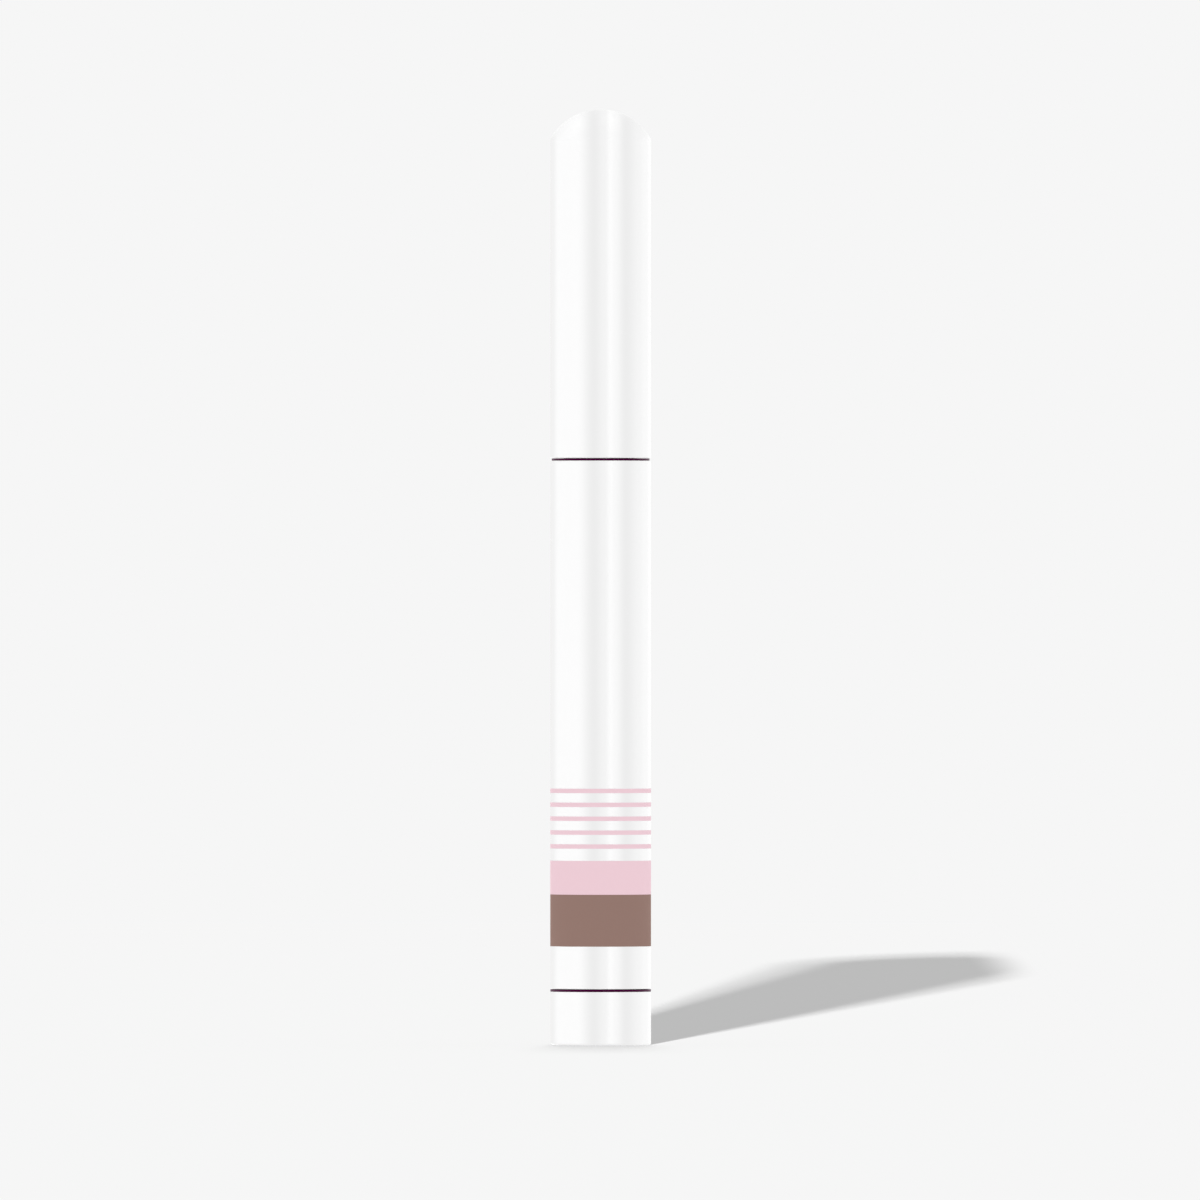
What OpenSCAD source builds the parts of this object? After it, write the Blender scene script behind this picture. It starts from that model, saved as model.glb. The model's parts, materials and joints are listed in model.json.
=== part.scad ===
// Twist-up nail oil pen: a capped barrel, a brush nozzle, and a screw that lifts a piston.
// Millimetres. +Z runs up the axis, and the origin is the centre of the base that the pen stands on.

/* [Pen] */
// Height of the capped pen
pen_h = 130; // [110:0.5:150]
// Outside diameter of the cap, the barrel and the knob
pen_d = 14; // [12:0.1:16]
// Height of each coloured trim ring
ring_h = 0.3; // [0.2:0.05:0.6]
// How far the upper trim ring lies inside the pen's side
ring_inset = 0.2; // [0:0.05:0.4]

/* [Cap] */
// Height of the domed end above the cap's straight side
dome_h = 4.1; // [3.2:0.1:5]
// Rounding where the dome meets the side
dome_edge_r = 1; // [0.5:0.1:1.5]
// Wall of the cap
cap_wall = 1.2; // [1.1:0.05:1.3]
// Wall of the cap round its mouth
mouth_wall = 1; // [0.9:0.05:1.05]
// Wall of the inner cap
liner_wall = 0.8; // [0.6:0.05:1]
// Wall of the inner cap where it grips the neck
grip_wall = 0.72; // [0.6:0.02:0.9]
// Room between the inner cap's end and the foot of the dome
cap_room = 4.4; // [3:0.1:8]
// Number of fins that centre the inner cap
fin_n = 6; // [3:1:10]
// How far the fins stand out from the inner cap
fin_reach = 1; // [0.7:0.05:1.3]

/* [Neck and nozzle] */
// Height of the neck
neck_h = 7.5; // [6.5:0.1:9]
// Wall of the neck
neck_wall = 1; // [0.8:0.05:1.1]
// Height of the nozzle above the neck
nozzle_h = 14; // [12:0.5:16]
// Depth of the nozzle's plug in the neck
plug_h = 6; // [5:0.1:6.4]
// Outside diameter of the nozzle's tip
tip_d = 3.8; // [3.6:0.1:4.4]

/* [Brush] */
// Length of the bristles beyond the nozzle
brush_h = 12; // [9:0.5:15]
// Room above the brush in the inner cap
tip_room = 6; // [3:0.5:8]
// Diameter of the tuft where it leaves the nozzle
brush_d = 2.8; // [2.6:0.05:2.9]
// Number of bristles
strand_n = 320; // [300:10:340]
// Diameter of a bristle
strand_d = 0.08; // [0.06:0.005:0.085]
// Outside diameter of the feed tube
feed_d = 1.2; // [1:0.05:1.3]
// Bore of the feed tube
feed_bore = 0.7; // [0.5:0.05:0.8]

/* [Barrel] */
// Wall of the barrel round the oil
barrel_wall = 1.4; // [1.35:0.05:1.6]
// Wall of the barrel round the drive
drive_wall = 1.2; // [1.1:0.05:1.3]
// Thickness of the barrel's shoulder under the neck
shoulder_h = 2; // [1.6:0.1:2.2]
// Number of keys that hold the fixed drive pieces
key_n = 3; // [2:1:4]

/* [Print] */
// Height of the brown band's lower edge
brown_z = 13.7; // [10:0.1:16]
// Width of the brown band
brown_h = 7.2; // [4:0.1:9]
// Width of the pink band above it
pink_h = 4.7; // [3:0.1:7]
// Number of pink stripes
stripe_n = 5; // [1:1:8]
// Width of a stripe
stripe_h = 0.6; // [0.4:0.05:1]
// Distance from one stripe to the next
stripe_pitch = 1.93; // [1.5:0.01:2.5]
// Thickness of the ink film
ink_t = 0.05; // [0.03:0.01:0.1]

/* [Piston and screw] */
// Height of the piston's side
piston_h = 8.2; // [7.6:0.1:8.4]
// Rise of the screw in one turn
pitch = 2; // [1.6:0.1:2.4]
// Outside diameter of the screw's thread
thread_d = 4.8; // [4.4:0.1:5.2]
// Depth of the thread
thread_depth = 0.5; // [0.3:0.05:0.6]
// Depth of the screw's two flats below its core
flat_depth = 0.15; // [0.1:0.01:0.3]
// Height of the nut
nut_h = 4; // [3.5:0.1:5]

/* [Knob and drive] */
// Height of the knob
knob_h = 7.4; // [7:0.1:9]
// Thickness of the knob's floor
knob_floor = 1; // [0.8:0.1:1.3]
// Rounding of the knob's foot
knob_edge_r = 0.4; // [0.3:0.1:0.8]
// Wall of the drive sleeve
sleeve_wall = 0.9; // [0.7:0.05:1.6]
// Wall of the bearing bush
bush_wall = 0.82; // [0.6:0.02:1]
// Height of the bearing bush
bush_h = 4; // [3:0.1:6]
// Number of ratchet teeth
tooth_n = 24; // [16:1:30]
// Number of spring arms that click over the teeth
arm_n = 3; // [2:1:4]

/* [Hidden] */
$fn = 96;

// Colours
gloss_white = [0.97, 0.97, 0.97];
plum = [0.21, 0.02, 0.12];
ink_pink = [0.93, 0.80, 0.84];
ink_brown = [0.58, 0.47, 0.44];
natural = [0.90, 0.91, 0.90];
rubber_grey = [0.30, 0.30, 0.32];
drive_grey = [0.72, 0.74, 0.76];
spring_white = [0.88, 0.88, 0.86];

// Fits, each measured on the radius or along the axis
press_gap = 0.02;
run_gap = 0.06;
turn_gap = 0.08;
grip_gap = 0.1;
seat_gap = 0.05;
over = 0.5;
arc_steps = 10;
dome_steps = 20;

// The pen's side and the levels where its pieces meet. The cap is as long as what it covers.
pen_r = pen_d / 2;
seam_z = pen_h - dome_h - cap_room - liner_wall - tip_room - brush_h - nozzle_h - neck_h;
knob_top = knob_h;
barrel_z0 = knob_top + ring_h + turn_gap;
cap_z0 = seam_z + ring_h + seat_gap;
edge_break = 0.12;

// Barrel
oil_r = pen_r - barrel_wall;
drive_r = pen_r - drive_wall;
key_w = 1.2;
key_depth = 0.4;
funnel_h = 1.5;
grip_r = pen_r - mouth_wall - press_gap - grip_wall;
neck_r = grip_r - grip_gap;
neck_bore_r = neck_r - neck_wall;
neck_top = seam_z + neck_h;
bead_h = 0.6;
bead_rise = 0.07;
bead_z = seam_z + neck_h / 2;
stripe_gap = 1.7;
pink_z = brown_z + brown_h;
stripe_z = pink_z + pink_h + stripe_gap;

// Nozzle, tuft and feed tube
flange_inset = 0.3;
flange_r = neck_r - flange_inset;
flange_h = 1;
flange_z1 = neck_top + flange_h;
nozzle_top = neck_top + nozzle_h;
chamber_r = pen_r - cap_wall - fin_reach - liner_wall;
cone_gap = 0.64;
cone_r = chamber_r - cone_gap;
cone_base_h = 1.4;
cone_z0 = flange_z1 + cone_base_h;
tip_r = tip_d / 2;
tip_straight = 3;
cone_z1 = nozzle_top - tip_straight;
tip_bore_r = brush_d / 2 + run_gap;
tuft_base_h = 1;
tuft_seat_drop = 8;
tuft_z1 = nozzle_top - tuft_seat_drop;
tuft_wall = 0.55;
tuft_seat_r = lookup(tuft_z1, [[cone_z0, cone_r], [cone_z1, tip_r]]) - tuft_wall;
tuft_z0 = tuft_z1 - tuft_base_h;
retainer_h = 5;
retainer_z0 = tuft_z0 - retainer_h;
oring_r = 0.33;
oring_groove_h = 0.8;
oring_z = neck_top - plug_h / 2;
nozzle_groove_r = neck_bore_r - 2 * oring_r - 2 * press_gap;
plug_wall = 0.4;
funnel_r = nozzle_groove_r - plug_wall;
feed_drop = 1.5;
feed_rise = 5;
feed_r = feed_d / 2;
brush_top = nozzle_top + brush_h;
brush_r = brush_d / 2;
// How the tuft opens and closes above the nozzle, by height as a share of its length: its width, how far
// it closes over the feed tube, and a bristle's thickness. Bristles at the rim are the shortest.
spread_shares = [[0, 1], [0.28, 1.2], [0.6, 1.08], [1, 0.55]];
closing_shares = [[0, 0], [0.28, 0], [0.6, 0.5], [1, 1]];
taper_shares = [[0, 1], [0.28, 1], [0.6, 0.85], [1, 0.4]];
rim_length_share = 0.72;
golden_angle = 137.508;
strand_sides = 3;

// Inner cap and its seal
liner_inset = 0.4;
liner_z0 = cap_z0 + liner_inset;
grip_z1 = flange_z1 + turn_gap;
seal_h = 1;
seal_recess = 0.35;
seal_r0 = cone_r + run_gap;
seal_r1 = chamber_r + seal_recess;
seal_z1 = grip_z1 + seal_h;
liner_step_z = seal_z1 + liner_wall;
liner_r = pen_r - mouth_wall - press_gap;
chamber_top = brush_top + tip_room;
liner_top = chamber_top + liner_wall;
liner_edge_r = 0.6;
fin_w = 0.8;
fin_drop = 2;
snap_rise = 0.12;
snap_h = 0.6;
snap_drop = 3;
snap_z = grip_z1 - snap_drop;
groove_rise = 0.08;

// Dome of the cap
dome_r = (pow(pen_r, 2) + pow(dome_h, 2)) / (2 * dome_h);
dome_z = pen_h - dome_r;
edge_z = dome_z + sqrt(pow(dome_r - dome_edge_r, 2) - pow(pen_r - dome_edge_r, 2));
edge_angle = atan2(edge_z - dome_z, pen_r - dome_edge_r);
inner_dome_r = dome_r - cap_wall;
inner_angle = acos((pen_r - cap_wall) / inner_dome_r);

// Screw, from the knob's floor up, and what it passes through
knob_recess_h = 0.4;
knob_rim = 2.4;
knob_recess_r = pen_r - knob_rim;
sleeve_z0 = knob_recess_h + knob_floor + press_gap;
screw_end_gap = 0.6;
screw_z0 = sleeve_z0 + screw_end_gap;
key_grip = 3;
key_hole_h = 4;
ratchet_lip_h = 0.8;
piston_rest_gap = 0.5;
piston_end_gap = 0.56;
// From the sleeve's top up to the piston at rest, and the travel that the barrel leaves it. The screw's
// travel in the sleeve and the piston's above the nut are the same length.
nut_stack_h = turn_gap + ratchet_lip_h + press_gap + nut_h + press_gap + piston_rest_gap;
stroke = (seam_z - shoulder_h - piston_end_gap - piston_h - nut_stack_h - key_grip - screw_z0) / 2;
sleeve_top = screw_z0 + stroke + key_grip;
key_hole_z0 = sleeve_top - key_hole_h;
nut_z0 = sleeve_top + turn_gap + ratchet_lip_h + press_gap;
nut_z1 = nut_z0 + nut_h;
ledge_z = nut_z1 + press_gap;
piston_z0 = ledge_z + piston_rest_gap;
thread_r = thread_d / 2;
core_r = thread_r - thread_depth;
flat_r = core_r - flat_depth;
thread_gap = 0.1;
crest_w = 0.5;
root_w = 1.1;
root_sink = 0.05;
ridge_steps = 6;
turn_steps = 24;
root_angle = asin(flat_r / (core_r - root_sink));
screw_end_h = root_w / 2 + pitch * root_angle / 360 + root_sink;
thread_z0 = screw_z0 + screw_end_h;
screw_z1 = piston_z0 - turn_gap;
screw_neck_r = 1.1;
screw_head_r = 1.7;
screw_head_h = 1.6;
head_nose_r = 1;

// Piston
piston_r = oil_r - seat_gap;
throat_h = 1.5;
throat_r = screw_neck_r + turn_gap;
socket_r = screw_head_r + turn_gap;
socket_z0 = piston_z0 + throat_h;
socket_z1 = socket_z0 + screw_head_h + 2 * turn_gap;
tower_wall = 0.9;
tower_r = socket_r + tower_wall;
skirt_wall = 0.9;
web_t = 1;
web_z = socket_z1 + web_t;
lip_h = 0.7;
relief = 0.25;
nose_h = 1.3;
nose_gap = 0.96;
nose_r = neck_bore_r - nose_gap;
piston_top = piston_z0 + piston_h;
piston_oring_drop = 2;
piston_oring_z = piston_top - piston_oring_drop;
piston_groove_r = piston_r + seat_gap - 2 * oring_r - 2 * press_gap;

// Ratchet, click spring, drive sleeve and bush
shaft_r = drive_r - press_gap - bush_wall - run_gap;
shaft_step = 0.3;
sleeve_r = shaft_r - shaft_step;
sleeve_bore_r = sleeve_r - sleeve_wall;
bush_z0 = barrel_z0 + seat_gap;
bush_z1 = bush_z0 + bush_h;
collar_gap = 0.3;
collar_r = drive_r - collar_gap;
collar_h = 1;
collar_z0 = bush_z1 + turn_gap;
spring_step = 0.6;
spring_seat_r = sleeve_r - spring_step;
spring_key_w = 1;
spring_key_rise = 0.25;
spring_h = 2;
spring_drop = 3;
spring_z0 = sleeve_top - spring_drop;
spring_hub_t = 0.3;
ratchet_wall = 0.45;
ratchet_skirt = 0.7;
ratchet_z0 = spring_z0 - ratchet_skirt;
tooth_depth = 0.3;
tooth_face_share = 0.1;
tooth_root_r = drive_r - ratchet_wall;
tooth_tip_r = tooth_root_r - tooth_depth;
arm_t = 0.3;
arm_sweep = 75;
arm_reach = tooth_tip_r - seat_gap;
slot_n = 6;
slot_w = 1;
slot_depth = 0.5;
slot_h = knob_top - sleeve_z0;

// Points along an arc of radius r about (x, z), from angle a0 to angle a1.
function arc(x, z, r, a0, a1, steps) =
    [for (i = [0:steps]) let (a = a0 + (a1 - a0) * i / steps) [x + r * cos(a), z + r * sin(a)]];

// A plain ring or tube between two heights.
module ring(r0, r1, z0, z1)
    translate([0, 0, z0])
        difference() {
            cylinder(r = r1, h = z1 - z0);
            translate([0, 0, -over]) cylinder(r = r0, h = z1 - z0 + 2 * over);
        }

// A round-section ring, such as an O-ring, whose outside reaches radius r1.
module o_ring(r1, z)
    rotate_extrude() translate([r1 - oring_r, z]) circle(r = oring_r, $fn = 48);

// A low ridge with sloping sides round a shaft of radius r, as a filled outline for rotate_extrude.
module bead_outline(r, rise, h, z)
    polygon([[r - over, z - h / 2], [r, z - h / 2], [r + rise, z - h / 4], [r + rise, z + h / 4],
        [r, z + h / 2], [r - over, z + h / 2]]);

// Outline of the drive chamber: a circle with key slots. gap draws in the pieces that fit it.
module drive_outline(gap) {
    circle(r = drive_r - gap);
    for (i = [0:key_n - 1])
        rotate(360 * i / key_n)
            translate([0, gap - key_w / 2])
                square([drive_r + key_depth - gap, key_w - 2 * gap]);
}

// A fixed piece of the drive: the chamber's outline between two heights, with a round bore.
module drive_piece(r0, z0, z1)
    translate([0, 0, z0])
        linear_extrude(height = z1 - z0)
            difference() {
                drive_outline(press_gap);
                circle(r = r0);
            }

// Outline of the sleeve's slotted foot. gap widens it for the knob's bore.
module foot_outline(gap)
    difference() {
        circle(r = shaft_r + gap);
        for (i = [0:slot_n - 1])
            rotate(360 * i / slot_n)
                translate([shaft_r - slot_depth + gap, gap - slot_w / 2])
                    square([slot_depth + over, slot_w - 2 * gap]);
    }

// Outline of the sleeve's end that carries the click spring. gap widens it for the spring's hub.
module spring_seat_outline(gap) {
    circle(r = spring_seat_r + gap);
    for (i = [0:arm_n - 1])
        rotate(360 * i / arm_n)
            translate([0, -gap - spring_key_w / 2])
                square([spring_seat_r + spring_key_rise + gap, spring_key_w + 2 * gap]);
}

// Outline of the screw's flatted section, gap wider all round.
module flatted_outline(r, gap)
    intersection() {
        circle(r = r + gap);
        square([2 * (r + gap), 2 * (flat_r + gap)], center = true);
    }

// Triangles that close a tube of rings of n points each, counter-clockwise seen from the tube's end.
// first is the number of the tube's first point.
function tube_faces(rings, n, first = 0) =
    let (last = first + n * (rings - 1))
    concat(
        [for (k = [1:n - 2]) [first, first + k, first + k + 1]],
        [for (i = [0:rings - 2], k = [0:n - 1], half = [0, 1])
            let (a = first + n * i + k, b = first + n * i + (k + 1) % n)
                half == 0 ? [a, a + n, b + n] : [a, b + n, b]],
        [for (k = [1:n - 2]) [last, last + k + 1, last + k]]);

// Section of the thread's ridge as radius and height, gap larger on every side.
function ridge_section(gap) = [
    [core_r - root_sink, root_w / 2 + gap], [thread_r + gap, crest_w / 2 + gap],
    [thread_r + gap, -crest_w / 2 - gap], [core_r - root_sink, -root_w / 2 - gap]];

// One half-turn of the screw's thread, cut off where the flats cross it.
module screw_ridge() {
    points = [for (i = [0:ridge_steps], s = ridge_section(0))
        let (a = asin(flat_r / s[0]) * (2 * i / ridge_steps - 1))
            [s[0] * cos(a), s[0] * sin(a), s[1] + pitch * a / 360]];
    polyhedron(points, tube_faces(ridge_steps + 1, 4), convexity = 4);
}

// The helical groove that the thread runs in, from height z0 to z1, gap clear of the ridge.
module thread_groove(z0, z1, gap) {
    steps = ceil(turn_steps * (z1 - z0) / pitch);
    points = [for (i = [0:steps], s = ridge_section(gap))
        let (a = 360 * (z0 - thread_z0) / pitch + 360 * i / turn_steps)
            [s[0] * cos(a), s[0] * sin(a), s[1] + z0 + pitch * i / turn_steps]];
    polyhedron(points, tube_faces(steps + 1, 4), convexity = 10);
}

// Outline of one print film, sunk flush into the barrel. lift carries the cut for it past the surface.
module ink_film(z0, h, lift)
    ring(pen_r - ink_t, pen_r + lift, z0, z0 + h);

module brown_film(lift) ink_film(brown_z, brown_h, lift);

module pink_films(lift) {
    ink_film(pink_z, pink_h, lift);
    for (i = [0:stripe_n - 1])
        ink_film(stripe_z + i * stripe_pitch, stripe_h, lift);
}

// Outer cap: a thin shell with a domed end.
module cap_shell()
    color(gloss_white)
        rotate_extrude()
            difference() {
                polygon(concat(
                    [[0, cap_z0], [pen_r - edge_break, cap_z0], [pen_r, cap_z0 + edge_break]],
                    arc(pen_r - dome_edge_r, edge_z, dome_edge_r, 0, edge_angle, arc_steps),
                    arc(0, dome_z, dome_r, edge_angle, 90, dome_steps)));
                polygon(concat(
                    [[0, cap_z0 - over], [pen_r - mouth_wall, cap_z0 - over],
                        [pen_r - mouth_wall, liner_step_z], [pen_r - cap_wall, liner_step_z]],
                    arc(0, dome_z, inner_dome_r, inner_angle, 90, dome_steps)));
                bead_outline(pen_r - mouth_wall, snap_rise + press_gap, snap_h + 2 * press_gap,
                    snap_z);
            }

// Inner cap: grips the neck, and closes over the brush.
module cap_liner()
    color(natural) {
        rotate_extrude()
            difference() {
                union() {
                    polygon([[0, liner_z0], [liner_r, liner_z0],
                        [liner_r, liner_step_z - press_gap], [0, liner_step_z - press_gap]]);
                    polygon(concat(
                        [[0, liner_z0], [chamber_r + liner_wall, liner_z0]],
                        arc(chamber_r + liner_wall - liner_edge_r, liner_top - liner_edge_r,
                            liner_edge_r, 0, 90, arc_steps),
                        [[0, liner_top]]));
                    bead_outline(liner_r, snap_rise, snap_h, snap_z);
                }
                polygon([[0, liner_z0 - over], [grip_r, liner_z0 - over], [grip_r, grip_z1],
                    [seal_r1, grip_z1], [seal_r1, seal_z1], [chamber_r, seal_z1],
                    [chamber_r, chamber_top], [0, chamber_top]]);
                bead_outline(grip_r, groove_rise, bead_h + 2 * turn_gap, bead_z);
            }
        for (i = [0:fin_n - 1])
            rotate(360 * i / fin_n)
                translate([chamber_r + liner_wall / 2, -fin_w / 2, liner_step_z - liner_wall / 2])
                    cube([pen_r - cap_wall - press_gap - chamber_r - liner_wall / 2, fin_w,
                        liner_top - fin_drop - liner_step_z]);
    }

// Soft ring that closes the brush chamber on the nozzle's flange.
module cap_seal()
    color(rubber_grey)
        ring(seal_r0, seal_r1 - press_gap, grip_z1, seal_z1 - press_gap);

module upper_trim_ring()
    color(plum)
        ring(neck_r + press_gap, pen_r - ring_inset, seam_z, seam_z + ring_h);

// Barrel: oil chamber above, drive chamber below, and the neck that the cap grips.
module barrel()
    color(gloss_white)
        difference() {
            rotate_extrude()
                difference() {
                    union() {
                        polygon([[0, barrel_z0], [pen_r - edge_break, barrel_z0],
                            [pen_r, barrel_z0 + edge_break], [pen_r, seam_z - edge_break],
                            [pen_r - edge_break, seam_z], [0, seam_z]]);
                        polygon([[0, barrel_z0], [neck_r, barrel_z0], [neck_r, neck_top - 2 * edge_break],
                            [neck_r - 2 * edge_break, neck_top], [0, neck_top]]);
                        bead_outline(neck_r, bead_rise, bead_h, bead_z);
                    }
                    polygon([[0, barrel_z0 - over], [drive_r - key_depth, barrel_z0 - over],
                        [drive_r - key_depth, ledge_z - over], [oil_r, ledge_z - over],
                        [oil_r, seam_z - shoulder_h],
                        [neck_bore_r, seam_z - shoulder_h + funnel_h],
                        [neck_bore_r, neck_top - edge_break],
                        [neck_bore_r + 2 * edge_break, neck_top + edge_break],
                        [0, neck_top + edge_break]]);
                }
            translate([0, 0, barrel_z0 - over])
                linear_extrude(height = ledge_z - barrel_z0 + over)
                    drive_outline(0);
            brown_film(over);
            pink_films(over);
        }

module brown_print_band() color(ink_brown) brown_film(0);

module pink_print_bands() color(ink_pink) pink_films(0);

// Nozzle: a plug for the neck, a flange that seats on it, and a cone that holds the tuft.
module nozzle()
    color(natural)
        rotate_extrude()
            difference() {
                polygon([[0, neck_top - plug_h],
                    [neck_bore_r - press_gap - edge_break, neck_top - plug_h],
                    [neck_bore_r - press_gap, neck_top - plug_h + edge_break],
                    [neck_bore_r - press_gap, oring_z - oring_groove_h / 2],
                    [nozzle_groove_r, oring_z - oring_groove_h / 2],
                    [nozzle_groove_r, oring_z + oring_groove_h / 2],
                    [neck_bore_r - press_gap, oring_z + oring_groove_h / 2],
                    [neck_bore_r - press_gap, neck_top + press_gap],
                    [flange_r, neck_top + press_gap], [flange_r, flange_z1 - edge_break],
                    [flange_r - edge_break, flange_z1], [cone_r, flange_z1],
                    [cone_r, cone_z0], [tip_r, cone_z1], [tip_r, nozzle_top - edge_break],
                    [tip_r - edge_break, nozzle_top], [0, nozzle_top]]);
                polygon([[0, neck_top - plug_h - over], [funnel_r, neck_top - plug_h - over],
                    [funnel_r, neck_top - plug_h / 2], [tuft_seat_r + press_gap, retainer_z0],
                    [tuft_seat_r + press_gap, tuft_z1], [tip_bore_r, tuft_z1],
                    [tip_bore_r, nozzle_top + over], [0, nozzle_top + over]]);
            }

module nozzle_seal_ring()
    color(rubber_grey)
        o_ring(neck_bore_r - press_gap, oring_z);

// Plug that wedges the tuft in the nozzle and carries the feed tube.
module tuft_retainer()
    color(drive_grey)
        ring(feed_r + press_gap, tuft_seat_r, retainer_z0, tuft_z0 - press_gap);

module feed_tube()
    color("silver")
        ring(feed_bore / 2, feed_r, retainer_z0 - feed_drop, nozzle_top + feed_rise);

// Levels of bristle i, as height, distance from the axis and radius. All of them open and close alike at
// any one height, so none cross.
function strand_levels(i) =
    let (r_in = feed_r + press_gap + strand_d, r_out = brush_r - strand_d / 2,
        share = (2 * i + 1) / (2 * strand_n),
        r = sqrt(pow(r_in, 2) + (pow(r_out, 2) - pow(r_in, 2)) * share),
        end_share = 1 - (1 - rim_length_share) * pow(share, 2),
        heights = concat([for (s = spread_shares) if (s[0] < rim_length_share) s[0]], [end_share]))
    concat([[tuft_z1 - tuft_base_h / 2, r, strand_d / 2]],
        [for (h = heights)
            [nozzle_top + brush_h * h,
                lookup(h, spread_shares) * sqrt(pow(r, 2) - lookup(h, closing_shares) * pow(r_in, 2)),
                strand_d / 2 * lookup(h, taper_shares)]]);

// Points of bristle i, a ring of strand_sides points at each level.
function strand_points(i) =
    [for (level = strand_levels(i), k = [0:strand_sides - 1])
        let (a = golden_angle * i, b = a + 360 * k / strand_sides)
            [level[1] * cos(a) + level[2] * cos(b), level[1] * sin(a) + level[2] * sin(b), level[0]]];

// Tuft: bristles round the feed tube, fused below to a disc that the nozzle holds.
module brush_tuft()
    color("ivory") {
        ring(feed_r + press_gap, tuft_seat_r, tuft_z0, tuft_z1 - press_gap);
        rings = len(strand_levels(0));
        polyhedron([for (i = [0:strand_n - 1]) each strand_points(i)],
            [for (i = [0:strand_n - 1]) each tube_faces(rings, strand_sides, i * rings * strand_sides)],
            convexity = 20);
    }

// Piston: a skirt with two lips and a seal ring, and a socket that snaps over the screw's head.
module piston()
    color(natural)
        rotate_extrude()
            difference() {
                polygon([[throat_r, piston_z0], [tower_r, piston_z0], [tower_r, web_z],
                    [piston_r - relief - skirt_wall, web_z],
                    [piston_r - relief - skirt_wall, piston_z0], [piston_r, piston_z0],
                    [piston_r, piston_z0 + lip_h],
                    [piston_r - relief, piston_z0 + lip_h + relief],
                    [piston_r - relief, piston_top - 2 * lip_h - relief - 2 * oring_groove_h],
                    [piston_r - relief / 2, piston_top - 2 * lip_h - 2 * oring_groove_h],
                    [piston_r, piston_top - lip_h], [piston_r, piston_top],
                    [nose_r, piston_top + nose_h], [0, piston_top + nose_h], [0, socket_z1],
                    [socket_r, socket_z1], [socket_r, socket_z0], [throat_r, socket_z0]]);
                translate([piston_groove_r, piston_oring_z - oring_groove_h / 2])
                    square([piston_r - piston_groove_r + over, oring_groove_h]);
            }

module piston_seal_ring()
    color(rubber_grey)
        o_ring(piston_r + seat_gap - press_gap, piston_oring_z);

// Screw: a flatted core with a thread on its two round sides, and a head for the piston's socket.
module lead_screw()
    color(drive_grey) {
        translate([0, 0, screw_z0])
            linear_extrude(height = screw_z1 - screw_z0)
                flatted_outline(core_r, 0);
        for (i = [0:floor(2 * (screw_z1 - thread_z0 - screw_end_h) / pitch)])
            translate([0, 0, thread_z0 + i * pitch / 2])
                rotate(180 * i)
                    screw_ridge();
        rotate_extrude()
            polygon([[0, screw_z1 - turn_gap], [screw_neck_r, screw_z1 - turn_gap],
                [screw_neck_r, socket_z0 + turn_gap], [screw_head_r, socket_z0 + turn_gap],
                [screw_head_r, socket_z0 + turn_gap + screw_head_h / 2],
                [head_nose_r, socket_z0 + turn_gap + screw_head_h],
                [0, socket_z0 + turn_gap + screw_head_h]]);
    }

// Fixed nut, keyed in the barrel against the ledge under the oil.
module drive_nut()
    color(natural)
        difference() {
            drive_piece(core_r + thread_gap, nut_z0, nut_z1);
            thread_groove(nut_z0 - pitch, nut_z1 + pitch, thread_gap);
        }

// Fixed ring of saw teeth that the click spring rides on, with a lip under the nut.
module ratchet_ring()
    color(drive_grey)
        difference() {
            drive_piece(thread_r + 2 * thread_gap, ratchet_z0, nut_z0 - press_gap);
            translate([0, 0, ratchet_z0 - over])
                linear_extrude(height = sleeve_top + turn_gap - ratchet_z0 + over)
                    polygon([for (i = [0:tooth_n - 1], r = [tooth_tip_r, tooth_root_r])
                        let (a = 360 / tooth_n * (i + (r == tooth_root_r ? tooth_face_share : 0)))
                            [r * cos(a), r * sin(a)]]);
        }

// Click spring: a keyed hub with curved arms, drawn bent in as when their tips pass a tooth.
module click_spring()
    color(spring_white)
        translate([0, 0, spring_z0])
            linear_extrude(height = spring_h)
                difference() {
                    union() {
                        circle(r = spring_seat_r + spring_key_rise + spring_hub_t);
                        for (i = [0:arm_n - 1])
                            rotate(360 * i / arm_n)
                                spring_arm_outline();
                    }
                    spring_seat_outline(press_gap);
                }

// One arm: a band that winds outwards from the hub to just under the teeth's tips.
module spring_arm_outline() {
    r_hub = spring_seat_r + spring_key_rise + spring_hub_t / 2;
    rise = arm_reach - r_hub - arm_t / 2;
    outer = [for (i = [0:arc_steps]) let (s = i / arc_steps)
        [r_hub + arm_t / 2 + rise * s, arm_sweep * s]];
    inner = [for (i = [arc_steps:-1:0]) let (s = i / arc_steps)
        [r_hub - arm_t / 2 + rise * s, arm_sweep * s]];
    polygon([for (p = concat(outer, inner)) [p[0] * cos(p[1]), p[0] * sin(p[1])]]);
}

// Drive sleeve: slotted foot in the knob, collar above the bush, and a keyed hole for the screw's flats.
module drive_sleeve()
    color(drive_grey)
        difference() {
            union() {
                translate([0, 0, sleeve_z0]) linear_extrude(height = slot_h) foot_outline(0);
                rotate_extrude()
                    polygon([[0, sleeve_z0 + slot_h], [shaft_r, sleeve_z0 + slot_h],
                        [shaft_r, collar_z0], [collar_r, collar_z0],
                        [collar_r, collar_z0 + collar_h], [sleeve_r, collar_z0 + collar_h],
                        [sleeve_r, spring_z0 - press_gap], [0, spring_z0 - press_gap]]);
                translate([0, 0, spring_z0 - press_gap])
                    linear_extrude(height = sleeve_top - spring_z0 + press_gap)
                        spring_seat_outline(0);
            }
            translate([0, 0, sleeve_z0 - over])
                cylinder(r = sleeve_bore_r, h = key_hole_z0 - sleeve_z0 + over);
            translate([0, 0, key_hole_z0 - over])
                linear_extrude(height = key_hole_h + 2 * over)
                    flatted_outline(thread_r, thread_gap);
        }

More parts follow.
